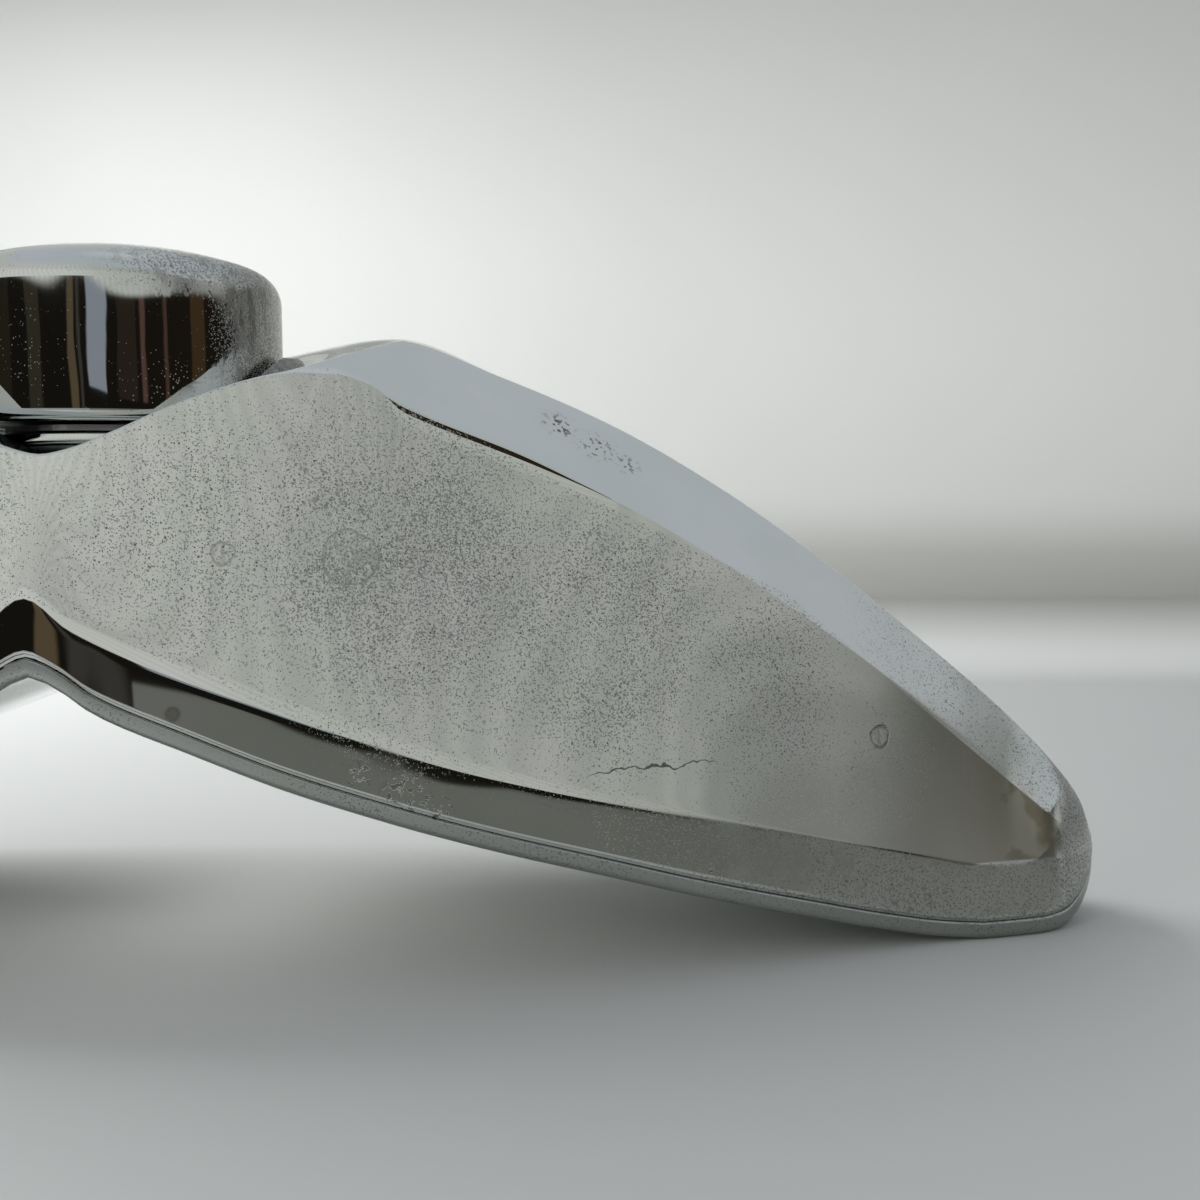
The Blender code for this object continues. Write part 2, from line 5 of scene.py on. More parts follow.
import bmesh
import bpy
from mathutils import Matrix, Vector


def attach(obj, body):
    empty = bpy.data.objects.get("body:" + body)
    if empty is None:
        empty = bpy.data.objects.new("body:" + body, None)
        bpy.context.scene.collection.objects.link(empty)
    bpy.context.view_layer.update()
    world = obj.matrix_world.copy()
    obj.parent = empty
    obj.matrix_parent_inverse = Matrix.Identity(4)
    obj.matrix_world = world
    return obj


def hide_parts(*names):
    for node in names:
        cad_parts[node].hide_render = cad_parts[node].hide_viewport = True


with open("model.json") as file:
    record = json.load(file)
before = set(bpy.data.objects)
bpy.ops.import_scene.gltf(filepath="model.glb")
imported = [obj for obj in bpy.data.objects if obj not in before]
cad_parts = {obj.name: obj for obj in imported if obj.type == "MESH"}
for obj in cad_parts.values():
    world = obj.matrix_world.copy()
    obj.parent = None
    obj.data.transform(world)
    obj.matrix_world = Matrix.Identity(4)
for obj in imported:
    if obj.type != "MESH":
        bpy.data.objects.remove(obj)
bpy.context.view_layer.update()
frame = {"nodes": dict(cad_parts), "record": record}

MM = 0.001

# ---- sizes of the casting, in millimetres, as the CAD model has them --------------------
COVER_THICK = 3.0
SEAM = 0.12                # visible gap between the casting and its cover
WALL = 3.0
FOOT_FROM = 145.0
FOOT_TO = 157.0
HALF_SPAN = 168.2
POCKET_RADIUS = 27.4
POCKET_FLOOR = 80.0
BOSS_TOP = 84.0
BOSS_TOP_RADIUS = 20.5
BOSS_FOOT_RADIUS = 24.4
COLUMN_RADIUS = 12.0
COLUMN_BOTTOM = 63.0
BORE_RADIUS = 7.6
CAP_RADIUS = 25.6
CAP_BOTTOM = 85.6
CAP_TOP = 115.5
CAP_TOP_ROUND = 5.5
CAP_WALL = 2.2
CAP_CROWN = 3.0
CAP_LIP = 1.8
SCREW_PLACES = (46.0, 104.0)
PEAK = 47.8                # the front crest meets the wing's top ridge here
CREST_FALL = 0.12          # the crest lies this much below the ridge for each mm of depth
HUMP_WIDTH = 18.0          # half width of the rounded top of a wing
TIP_FROM = 148.0           # cross-sections get closer together from here to the tip
TIP_STATIONS = 36
CAVITY_END = 140
CAVITY_STEP = 5
BOSS_TOP_EDGE = 0.4        # rounding of the boss's upper edge
GROOVE_INNER = 11.6        # seal groove in the top of the boss
GROOVE_OUTER = 14.4
GROOVE_DEPTH = 2.1
PAD_RADIUS = 5.6           # pads inside the cover, under the screws
PAD_LOW = 1.6
PAD_TOP = 5.5
SCREW_HOLE_RADIUS = 1.7
SCREW_SEAT_RADIUS = 3.1
SCREW_SEAT_DEPTH = 2.4
ROUND_SIDES = 192          # sides of the large turned shapes
SHARP_ANGLE = 32           # degrees; flatter edges are shaded smooth
CAP_TOP_TURN = 74          # degrees of the top rounding, up to where the crown starts
CROWN_STEPS = 12
COVER_INSET = 0.2          # the cover's rim stays this much inside the casting's
COVER_ROUND = 1.3          # rounding of its lower edge
COVER_EDGE = 0.3           # chamfer of its upper edge

# Outlines of one wing: (distance from the middle, height), or depth where the name says so.
RIM = ((0, 42), (50, 38.8), (90, 31), (120, 21.8), (138, 16.3), (150, 13.6), (157, 11.6),
       (162, 8.9), (165.5, 5.8), (167.4, 3.0), (168.2, 1.0))
RIDGE = ((0, 93.2), (26, 97.4), (46, 100.7), (64, 94.3), (83, 86.1), (102, 75.2), (121, 61.8),
         (138, 48.2), (152, 36.2), (161, 27), (166, 20.2), (168.2, 14))
CREST = ((0, 80.2), (4, 81.0), (10.4, 83.7), (16.8, 86.9), (23.4, 89.7), (30, 92.0),
         (34.7, 93.3), (39.4, 95.5), (43.6, 97.6), (47.8, 99.4))
CREST_DEPTH = ((0, 35), (20, 30.8), (30, 27.3), (34.7, 25), (39.4, 20), (43.6, 14), (47.8, 9),
               (55, 4.5), (64, 1.5), (100, 1.5), (140, 0.5), (168.2, 0.3))
SCOOP_TOP = ((0, 79.8), (4, 80.6), (10.4, 83.3), (16.8, 86.5), (23.4, 89.3), (30, 91.6),
             (35.5, 92.5), (40.5, 92.5), (45.2, 91.2), (50, 88.3), (69, 80.5), (82, 74),
             (101, 63.2), (127, 45.4), (145, 31.0), (153.5, 23.4), (157, 20.2), (161, 19.3),
             (168.2, 19.0))
SCOOP_TOP_DEPTH = ((0, 35.2), (20, 31.0), (40, 24.2), (60, 19.6), (82, 16.2), (101, 13),
                   (127, 8.3), (145, 5.5), (151, 5.3), (154.5, 6.2), (157.5, 7.8),
                   (160, 6.9), (164, 4.3), (168.2, 0.5))
SCOOP_FOOT = ((0, 60.8), (6, 56.2), (15, 51.6), (24, 47.9), (54, 36.9), (66, 33), (81, 28.7),
              (101, 23.5), (120, 18.3), (137, 14.1), (145, 12.5), (150, 12.0), (154.3, 12.4),
              (157.5, 14.0), (159.4, 15.7), (162, 17.0), (168.2, 17.5))
BOTTOM = ((0, 48.5), (4, 46.7), (9, 43.1), (22, 37.3), (36, 31.4), (50, 26.5), (65, 21.7),
          (81, 16.9), (97, 12), (113, 7.3), (129, 2.9), (138, 0.9), (145, 0))
TIP_UNDER = ((157, 0), (160.5, 0.5), (163.5, 2.2), (166, 5.0), (168.2, 9.0))
RIM_LEAN = ((0, 5.5), (80, 10.5), (140, 11.5), (168.2, 11.5))     # degrees off upright
FOOT_ROUND = ((0, 2.0), (40, 1.7), (80, 1.0), (130, 0.5), (168.2, 0.4))


# ---- curves -----------------------------------------------------------------------------
def smooth(points, x):
    """Height at x on a smooth monotone curve through the points, level at x = 0."""
    x = min(max(x, points[0][0]), points[-1][0])
    count = len(points)
    chords = [(points[i + 1][1] - points[i][1]) / (points[i + 1][0] - points[i][0])
              for i in range(count - 1)]
    slopes = [0.0 if points[0][0] == 0 else chords[0]]
    for i in range(1, count - 1):
        before, after = chords[i - 1], chords[i]
        slopes.append(0.0 if before * after <= 0 else 2 * before * after / (before + after))
    slopes.append(chords[-1])
    i = next(k for k in range(count - 1) if x <= points[k + 1][0])
    step = points[i + 1][0] - points[i][0]
    t = (x - points[i][0]) / step
    return ((2 * t ** 3 - 3 * t ** 2 + 1) * points[i][1]
            + (t ** 3 - 2 * t ** 2 + t) * step * slopes[i]
            + (3 * t ** 2 - 2 * t ** 3) * points[i + 1][1]
            + (t ** 3 - t ** 2) * step * slopes[i + 1])


def ease(low, high, value):
    """Smooth step from 0 at low to 1 at high."""
    t = min(max((value - low) / (high - low), 0.0), 1.0)
    return t * t * (3 - 2 * t)


def bottom(x):
    """Height of the underside at distance x from the middle."""
    if x < FOOT_FROM:
        return smooth(BOTTOM, x)
    return smooth(TIP_UNDER, max(x, FOOT_TO))


def rim_depth(x):
    """Half depth of the lens-shaped rim at distance x from the middle."""
    return smooth(RIM, x)


def stations(step):
    """Distances from the middle for cross-sections, closer together near the tip."""
    count = int(TIP_FROM / step)
    places = [TIP_FROM * i / count for i in range(count + 1)]
    for i in range(1, TIP_STATIONS + 1):
        turn = math.pi / 2 * i / TIP_STATIONS
        places.append(TIP_FROM + (HALF_SPAN - TIP_FROM) * math.sin(turn))
    return places


def curved(start, corner, end, t):
    """Point at t, 0 to 1, on the curve that leaves start and meets end towards the corner."""
    return tuple((1 - t) ** 2 * a + 2 * t * (1 - t) * c + t * t * b
                 for a, c, b in zip(start, corner, end))


def between(start, end, shares):
    """Points on the straight line from start to end, at the given shares of its length."""
    return [tuple(a + (b - a) * share for a, b in zip(start, end)) for share in shares]


MOST_ROUNDED = 0.45        # a rounded corner takes at most this share of either side
TOUCHING = 1e-6


def bend(corner, before, after, radius, steps=4):
    """Round one corner of an outline with a quadratic curve."""
    def towards(target):
        reach = math.dist(corner, target)
        share = min(radius / reach, MOST_ROUNDED) if reach > TOUCHING else 0.0
        return tuple(c + (t - c) * share for c, t in zip(corner, target))
    start, end = towards(before), towards(after)
    return [curved(start, corner, end, i / steps) for i in range(steps + 1)]


LEAST_RIM = 0.6            # the rim keeps at least this height, even at the tip
LEAST_SCOOP = 0.3          # and so do the scoop and the sloping face above it
FOOT_BELOW_CREST = 0.7
CREST_SHARE = 0.3          # beyond the peak the crest stays within this share of the rim's depth
FOOT_SHARE = 0.5           # and the scoop's foot stays outside this share


def scoop_lines(x):
    """Crest, scoop top and scoop foot at x, each (depth, height); then the rim's floor and depth."""
    low = bottom(x) + COVER_THICK + SEAM
    rim = rim_depth(x)
    crest_depth = smooth(CREST_DEPTH, x)
    crest_height = smooth(CREST, x)
    if x > PEAK:
        crest_depth = min(crest_depth, CREST_SHARE * rim)
        crest_height = smooth(RIDGE, x) - CREST_FALL * crest_depth
    foot_height = min(max(smooth(SCOOP_FOOT, x), low + LEAST_RIM), crest_height - FOOT_BELOW_CREST)
    lean = math.tan(math.radians(smooth(RIM_LEAN, x)))
    foot = (max(rim - (foot_height - low) * lean, FOOT_SHARE * rim), foot_height)
    top_height = min(max(smooth(SCOOP_TOP, x), foot_height + LEAST_SCOOP), crest_height - LEAST_SCOOP)
    top = (min(smooth(SCOOP_TOP_DEPTH, x), foot[0] - 0.1), top_height)
    return (crest_depth, crest_height), top, foot, low, rim


HUMP_STEPS = 8
HUMP_SHARE = 0.9           # the hump's half width stays within this share of the crest's depth
HUMP_FOOT = 0.02           # the hump ends this much above the crest
SCOOP_SAG = 0.9            # how far the scoop's face is hollow over its full height
FULL_SCOOP = 40.0          # height of a scoop that has the full hollow
SCOOP_STEPS = 22
STEP_HEIGHT = 1.2          # upright strip along the middle of the scoop's upper edge
LEAST_STRIP = 0.1          # where the strip is lower, the upper edge rounds straight into the face
RIM_CHAMFER = 0.5          # of the rim's lower edge
RIM_EDGE_ROUND = 0.35
NOSE_FROM = 157.5          # the scoop closes to a round nose between these two places
NOSE_TO = 161.5


def ridge_hump(crest, ridge):
    """Rounded top of the wing, from the ridge out to the crest."""
    width = min(HUMP_WIDTH, crest[0] * HUMP_SHARE)
    shares = [i / HUMP_STEPS for i in range(HUMP_STEPS + 1)]
    return [(width * t, crest[1] + HUMP_FOOT + (ridge - crest[1]) * (1 - t * t) ** 2) for t in shares]


def scoop_face(start, foot, sag):
    """Slightly hollow face of the scoop, from its upper edge to its foot."""
    face = []
    for i in range(SCOOP_STEPS + 1):
        t = i / SCOOP_STEPS
        bow = sag * 4 * t * (1 - t)
        face.append((start[0] + (foot[0] - start[0]) * t - bow,
                     start[1] + (foot[1] - start[1]) * t))
    return face


def nose(points, corner, end, share):
    """Move points by the given share onto one round curve, which closes the scoop off."""
    made = []
    for i, point in enumerate(points):
        target = curved(points[0], corner, end, i / len(points))
        made += between(point, target, (share,))
    return made


def wing_outline(x):
    """Fine outer cross-section at distance x from the middle, front half: (depth, height)."""
    crest, top, foot, low, rim = scoop_lines(x)
    points = ridge_hump(crest, smooth(RIDGE, x))
    crest_round = min(0.6 + 0.8 * ease(PEAK, PEAK + 15, x), crest[0] * 0.4)
    points += bend(crest, points[-1], top, crest_round)

    strip = STEP_HEIGHT * ease(PEAK - 1, PEAK + 3, x) * (1 - ease(PEAK + 16, PEAK + 40, x))
    start = (top[0] + 0.05 * strip, top[1] - strip)
    height = top[1] - foot[1]
    face = scoop_face(start, foot, SCOOP_SAG * min(height / FULL_SCOOP, 1.0))
    top_round = 0.25 + 5.0 * ease(30, 38, x) * (1 - ease(42, 49, x)) + 0.6 * ease(75, 110, x)
    upper = bend(top, crest, start if strip > LEAST_STRIP else face[2], top_round)
    points += between(points[-1], upper[0], (0.04, 0.5, 0.96))
    points += upper
    points += between(upper[-1], start, (0.1, 0.9))
    points.append(start)
    points += face[1:-1]

    rim_edge = (rim, low + RIM_CHAMFER)
    foot_round = min(smooth(FOOT_ROUND, x), 0.4 * height)
    lower = bend(foot, face[-3], rim_edge, foot_round, 8)
    edge = bend(rim_edge, foot, (rim - 2.0, low), RIM_EDGE_ROUND, 3)
    points += lower + between(lower[-1], edge[0], (0.05, 0.5, 0.95))
    nose_corner = (rim * 0.96, crest[1] * 0.86)
    closed = nose(points[HUMP_STEPS:], nose_corner, edge[0], ease(NOSE_FROM, NOSE_TO, x))
    return points[:HUMP_STEPS] + closed + edge + [(rim - RIM_CHAMFER, low)]


def cavity_outline(x):
    """Cavity cross-section at distance x, front half, running out below the casting."""
    crest, top, foot, low, rim = scoop_lines(x)
    ceiling = min(smooth(RIDGE, x) - 2.0 * WALL, crest[1] - 1.6 * WALL)
    if x < POCKET_RADIUS + WALL + 2.0:
        ceiling = min(ceiling, POCKET_FLOOR - 1.5 * WALL)
    points = [(0.0, ceiling)]
    for t in (0.0, 0.2, 0.5, 0.8):
        depth = top[0] + (foot[0] - top[0]) * t - 1.6 * WALL
        height = min(top[1] + (foot[1] - top[1]) * t, ceiling) - 0.4
        points.append((max(depth, 1.0), height))
    points.append((rim - 2.2 * WALL, foot[1] - 1.0))
    points.append((rim - 2.2 * WALL, low - 3.0))
    return points


# ---- mesh helpers -----------------------------------------------------------------------
def smooth_shade(mesh, angle):
    """Shade a mesh smooth, apart from edges sharper than the angle in degrees."""
    mesh.shade_smooth()
    mesh.set_sharp_from_angle(angle=math.radians(angle))


def make_object(name, bm):
    """Turn a bmesh, in millimetres, into an object in metres."""
    bmesh.ops.scale(bm, vec=Vector((MM, MM, MM)), verts=bm.verts)
    bmesh.ops.recalc_face_normals(bm, faces=bm.faces)
    mesh = bpy.data.meshes.new(name)
    bm.to_mesh(mesh)
    bm.free()
    obj = bpy.data.objects.new(name, mesh)
    bpy.context.scene.collection.objects.link(obj)
    return obj


def loft(bm, rings):
    """Join closed rings of points into one closed body."""
    levels = [[bm.verts.new(point) for point in ring] for ring in rings]
    count = len(levels[0])
    for one, two in zip(levels, levels[1:]):
        for i in range(count):
            j = (i + 1) % count
            bm.faces.new((one[i], one[j], two[j], two[i]))
    bm.faces.new(levels[0])
    bm.faces.new(list(reversed(levels[-1])))


def wing_rings(outline, places):
    """Full closed rings from one wing tip to the other; the back mirrors the front."""
    rings = []
    for x in [-x for x in reversed(places[1:])] + places:
        front = outline(abs(x))
        ring = [(x, -depth, height) for depth, height in front]
        ring += [(x, depth, height) for depth, height in reversed(front) if depth > 0.0]
        rings.append(ring)
    return rings


def turned(bm, profile, sides, centre=(0.0, 0.0)):
    """Turn a closed (radius, height) profile about a vertical axis."""
    rings = []
    for i in range(sides):
        angle = 2 * math.pi * i / sides
        rings.append([bm.verts.new((centre[0] + radius * math.cos(angle),
                                    centre[1] + radius * math.sin(angle), height))
                      for radius, height in profile])
    count = len(profile)
    for i in range(sides):
        one, two = rings[i], rings[(i + 1) % sides]
        for j in range(count):
            k = (j + 1) % count
            bm.faces.new((one[j], one[k], two[k], two[j]))
    bmesh.ops.remove_doubles(bm, verts=bm.verts, dist=1e-5)


def rod(bm, radius, low, high, sides, centre=(0.0, 0.0)):
    """Plain upright cylinder, used as a cutting or joining tool."""
    turned(bm, [(0.0, low), (radius, low), (radius, high), (0.0, high)], sides, centre)


def arc(centre, radius, start, end, steps):
    """Points on an arc of a profile; angles in degrees from +radius towards +height."""
    points = []
    for i in range(steps + 1):
        angle = math.radians(start + (end - start) * i / steps)
        points.append((centre[0] + radius * math.cos(angle), centre[1] + radius * math.sin(angle)))
    return points


def combine(target, bm, operation):
    """Join a tool body to the target, or cut it away, and remove the tool."""
    tool = make_object("tool", bm)
    modifier = target.modifiers.new("combine", "BOOLEAN")
    modifier.operation = operation
    modifier.object = tool
    modifier.solver = "EXACT"
    graph = bpy.context.evaluated_depsgraph_get()
    result = bpy.data.meshes.new_from_object(target.evaluated_get(graph))
    target.modifiers.clear()
    target.data = result
    bpy.data.objects.remove(tool)


# ---- node helpers -----------------------------------------------------------------------
class Graph:
    """Small wrapper that builds a node tree with short calls."""

    def __init__(self, tree):
        self.tree = tree

    def node(self, kind, **settings):
        """New node with the given settings."""
        made = self.tree.nodes.new(kind)
        for key, value in settings.items():
            setattr(made, key, value)
        return made

    def link(self, value, socket):
        """Feed a socket from another socket, or set it to a plain value."""
        if isinstance(value, bpy.types.NodeSocket):
            self.tree.links.new(value, socket)
        else:
            socket.default_value = value

    def fill(self, made, values):
        """Feed a node's first sockets in turn."""
        for value, socket in zip(values, made.inputs):
            self.link(value, socket)
        return made

    def math(self, operation, *values, clamp=False):
        """One math node."""
        made = self.node("ShaderNodeMath", operation=operation, use_clamp=clamp)
        return self.fill(made, values).outputs[0]

    def chain(self, operation, values):
        """The same math node between all the values, from the first to the last."""
        total = values[0]
        for value in values[1:]:
            total = self.math(operation, total, value)
        return total

    def times(self, *values):
        """Product of the values."""
        return self.chain("MULTIPLY", values)

    def plus(self, *values):
        """Sum of the values."""
        return self.chain("ADD", values)

    def most(self, *values):
        """Largest of the values."""
        return self.chain("MAXIMUM", values)

    def minus(self, one, two, clamp=False):
        """Difference of two values."""
        return self.math("SUBTRACT", one, two, clamp=clamp)

    def outside(self, mask):
        """1 where a mask is 0, and 0 where it is 1."""
        return self.minus(1.0, mask)

    def span(self, value, low, high, to_low=0.0, to_high=1.0):
        """Smoothly map low..high to to_low..to_high."""
        made = self.node("ShaderNodeMapRange", interpolation_type="SMOOTHSTEP")
        return self.fill(made, (value, low, high, to_low, to_high)).outputs[0]

    def span_mm(self, value, low, high, to_low=0.0, to_high=1.0):
        """Smoothly map a length, with its limits in millimetres."""
        return self.span(value, low * MM, high * MM, to_low, to_high)

    def span_linear(self, value, low, high):
        """Linearly map low..high to 0..1."""
        return self.fill(self.node("ShaderNodeMapRange"), (value, low, high)).outputs[0]

    def noise(self, vector, scale, detail, rough=0.55):
        """Smooth random field, 0 to 1, with the scale in waves per metre."""
        made = self.node("ShaderNodeTexNoise")
        self.link(vector, made.inputs["Vector"])
        made.inputs["Scale"].default_value = scale
        made.inputs["Detail"].default_value = detail
        made.inputs["Roughness"].default_value = rough
        return made.outputs["Fac"]

    def clouds(self, vector, scale, detail, low, high, to_low=0.0, to_high=1.0):
        """Noise with more contrast: low..high of it becomes to_low..to_high."""
        return self.span(self.noise(vector, scale, detail), low, high, to_low, to_high)

    def mix(self, share, one, two):
        """Blend of two colours."""
        made = self.node("ShaderNodeMix", data_type="RGBA")
        self.link(share, made.inputs[0])
        self.link(one, made.inputs[6])
        self.link(two, made.inputs[7])
        return made.outputs[2]

    def split(self, vector):
        """The three axes of a vector."""
        return self.fill(self.node("ShaderNodeSeparateXYZ"), (vector,)).outputs

    def join(self, *axes):
        """Vector made of three axes."""
        return self.fill(self.node("ShaderNodeCombineXYZ"), axes).outputs[0]

    def stretch(self, vector, scale):
        """Coordinates scaled along each axis."""
        made = self.node("ShaderNodeMapping")
        self.link(vector, made.inputs["Vector"])
        made.inputs["Scale"].default_value = scale
        return made.outputs["Vector"]

    def distance(self, vector, centre):
        """Distance, in metres, from a centre in millimetres."""
        made = self.node("ShaderNodeVectorMath", operation="DISTANCE")
        self.link(vector, made.inputs[0])
        made.inputs[1].default_value = [c * MM for c in centre]
        return made.outputs["Value"]

    def bump(self, height, strength, distance, normal=None):
        """Normal tilted by a height field, on top of another bump's normal if given."""
        made = self.node("ShaderNodeBump")
        made.inputs["Strength"].default_value = strength
        made.inputs["Distance"].default_value = distance
        self.link(height, made.inputs["Height"])
        if normal is not None:
            self.link(normal, made.inputs["Normal"])
        return made.outputs["Normal"]


def new_material(name):
    """Principled material and its graph helper, object coordinates and shader."""
    material = bpy.data.materials.new(name)
    material.use_nodes = True
    graph = Graph(material.node_tree)
    shader = material.node_tree.nodes["Principled BSDF"]
    place = graph.node("ShaderNodeTexCoord").outputs["Object"]
    return material, graph, place, shader


# ---- old chrome -------------------------------------------------------------------------
# Layers of pits: cells per metre, share of the density, widest radius against a cell.
PIT_LAYERS = ((2900.0, 1.0, 0.36), (1500.0, 0.55, 0.32), (600.0, 0.17, 0.22))
GRAIN_WAVES = 2900.0       # of the etching, per metre
PATCH_SOFTNESS = 0.8       # share of a patch's radius over which it fades
RING_EDGE = (0.28, 0.08)   # distances, in millimetres, over which a ring's line fades in
PIT_COLOUR = (0.12, 0.115, 0.105, 1.0)
ETCHED_COLOUR = (0.36, 0.36, 0.33, 1.0)
# brown of tarnish and rust, also used for painted shade in the scoops and on the cap's flank
TARNISH_AND_SHADE_BROWN = (0.15, 0.13, 0.085, 1.0)
CLOUD_TINT = (0.93, 0.955, 0.93)          # clouded chrome against bright chrome
LEAST_ROUGH = 0.03
HAZE_ROUGH = 0.42
PIT_ROUGH = 0.38
BROWN_ROUGH = 0.4
FAINT_RIPPLES = 0.1
CAP_RIPPLES = 0.7


def pits(graph, place, scale, amount, widest):
    """Scattered round pits; amount, 0 to 1, says how many cells have one and how wide."""
    cells = graph.node("ShaderNodeTexVoronoi")
    graph.link(place, cells.inputs["Vector"])
    cells.inputs["Scale"].default_value = scale
    chance = graph.fill(graph.node("ShaderNodeSeparateColor"), (cells.outputs["Color"],)).outputs[0]
    wide = graph.times(graph.minus(amount, chance, clamp=True), 1.1)
    wide = graph.math("MINIMUM", wide, widest)
    return graph.span(cells.outputs["Distance"], wide, graph.times(wide, 0.5))


def etching(graph, place, amount):
    """Fine grainy corrosion; more of the surface is eaten where amount is high."""
    grain = graph.noise(place, GRAIN_WAVES, 3.0, 0.7)
    limit = graph.minus(0.63, graph.times(amount, 0.15))
    eaten = graph.span(graph.minus(grain, limit), 0.0, 0.04)
    return graph.times(eaten, graph.span(amount, 0.03, 0.2))


def patches(graph, place, spots):
    """Largest of several soft round patches: (x, y, z, radius, strength) in millimetres."""
    total = 0.0
    for x, y, z, radius, strength in spots:
        away = graph.distance(place, (x, y, z))
        patch = graph.span_mm(away, radius, radius * (1 - PATCH_SOFTNESS))
        total = graph.most(total, graph.times(patch, strength))
    return total


def water_rings(graph, place, spots):
    """Dried water rings with faint streaks inside: (x, y, z, radius) in millimetres."""
    streaks = graph.clouds(graph.stretch(place, (1.0, 1.0, 0.15)), 1500.0, 1.0, 0.45, 0.6)
    wander = graph.times(graph.noise(place, 260.0, 2.0), 1.6 * MM)
    shifted = graph.node("ShaderNodeVectorMath", operation="ADD")
    graph.fill(shifted, (place, wander))
    total = 0.0
    for x, y, z, radius in spots:
        centre = [c + 0.8 for c in (x, y, z)]          # where the wander moves it on average
        past = graph.minus(graph.distance(shifted.outputs[0], centre), radius * MM)
        line = graph.span_mm(graph.math("ABSOLUTE", past), *RING_EDGE)
        inside = graph.times(graph.span_mm(past, 0.1, -0.1), streaks)
        total = graph.most(total, graph.most(line, graph.times(inside, 0.6)))
    return total


def old_chrome(name, tint, wear, ripples=FAINT_RIPPLES):
    """Old chrome plate: a mirror with pits, etching, specks, haze and faint ripples.

    wear(graph, place) gives the fields density, etched, haze, marks and brown, each 0 to 1; brown carries
    tarnish and rust, and also painted shade.
    """
    material, graph, place, shader = new_material(name)
    density, etched, haze, marks, brown = wear(graph, place)
    layers = [pits(graph, place, scale, graph.times(density, share), widest)
              for scale, share, widest in PIT_LAYERS]
    fine = graph.times(etching(graph, place, etched), 0.7)
    dark = graph.most(*layers, fine, marks)
    cloudy = graph.clouds(place, 45.0, 3.0, 0.35, 0.65)
    cloud_colour = [bright * share for bright, share in zip(tint, CLOUD_TINT)]
    base = graph.mix(cloudy, (*tint, 1.0), (*cloud_colour, 1.0))
    base = graph.mix(graph.times(etched, 0.15), base, ETCHED_COLOUR)
    base = graph.mix(brown, base, TARNISH_AND_SHADE_BROWN)
    base = graph.mix(graph.times(dark, 0.92), base, PIT_COLOUR)
    graph.link(base, shader.inputs["Base Color"])
    shader.inputs["Metallic"].default_value = 1.0
    rough = graph.most(graph.plus(graph.times(haze, HAZE_ROUGH), LEAST_ROUGH),
                       graph.times(dark, PIT_ROUGH), graph.times(brown, BROWN_ROUGH))
    graph.link(rough, shader.inputs["Roughness"])
    rippled = graph.bump(graph.noise(place, 40.0, 1.0), ripples, 1.0 * MM)
    pitted = graph.bump(graph.times(dark, -1.0), 0.45, 0.1 * MM, rippled)
    graph.link(pitted, shader.inputs["Normal"])
    return material


# Wear on the front of the wing, in millimetres: centre, radius and, for patches, strength.
HEAVY_PITS = ((74, -7, 85.5, 4.5, 1.0), (80, -7, 81.5, 5.0, 0.9), (85, -7, 78.5, 3.5, 0.8),
              (52.5, -37.5, 30.5, 4.5, 0.75), (57, -37, 28, 3.0, 0.8), (46, -38, 34, 2.5, 0.6),
              (40, -28, 73.5, 3.5, 0.7), (122, -14, 29.5, 1.2, 0.9), (132, -17, 7, 9.0, 0.4))
BLACK_SPOTS = ((122, -14, 29.6, 0.45, 1.0), (121.5, -14.6, 27.4, 0.4, 1.0), (68, -34, 29.8, 0.4, 1.0),
               (98, -28.5, 16.5, 0.4, 1.0))
WATER_RINGS = ((44, -31.4, 65.4, 4.4), (128, -12, 34, 1.9), (141, -9, 32.4, 1.6), (26, -35, 66, 1.7))
RUST_SPOTS = ((20.3, -41, 43.3, 1.5, 0.75),)
SMEARS = ((52, -30, 66, 40, 0.9), (82, -24, 54, 34, 0.85), (22, -34, 66, 30, 0.6),
          (108, -19, 42, 26, 0.75), (126, -15, 32, 18, 0.5))
CRACK_FROM = 79
CRACK_TO = 99.6
CRACK_HEIGHT = 32.2
CRACK_WANDER = 5.0

# Straight lines along the edges of a wing's faces: height at the middle, fall per millimetre.
SCOOP_EDGES = ((112.9, 0.492), (150.8, 0.83))
RIM_EDGES = ((60.0, 0.48), (50.8, 0.27))
RIM_EDGE_LOWEST = 12.6

# Stretches along a wing, in millimetres from the middle, over which a kind of wear, or painted shade, sets
# in.
CLEAN_RIM = (60, 20)
RIM_FROST = (70, 120)
RIDGE_FROST = (110, 150)
TIP_FROST = (158, 161)
# painted shade, not wear: the scoop darkens in brown over this stretch towards its closed end
SCOOP_PAINTED_SHADE = (118, 150)
TARNISH = (138, 152)
SCOOP_END = (160.5, 158)
COVER_FROST = (90, 150)


def falling_line(graph, along, line):
    """Height of a straight line that falls from the middle towards the tip."""
    start, fall = line
    return graph.minus(start * MM, graph.times(along, fall))


def wing_faces(graph, along, height):
    """Masks of the bevel above the scoops, and of everything above the rim."""
    edge = graph.chain("MINIMUM", [falling_line(graph, along, line) for line in SCOOP_EDGES])
    bevel = graph.span_mm(graph.minus(height, edge), -0.2, 0.2)
    rim_lines = [falling_line(graph, along, line) for line in RIM_EDGES]
    rim_top = graph.most(*rim_lines, RIM_EDGE_LOWEST * MM)
    above_rim = graph.span_mm(graph.minus(height, rim_top), -0.3, 0.3)
    return bevel, above_rim


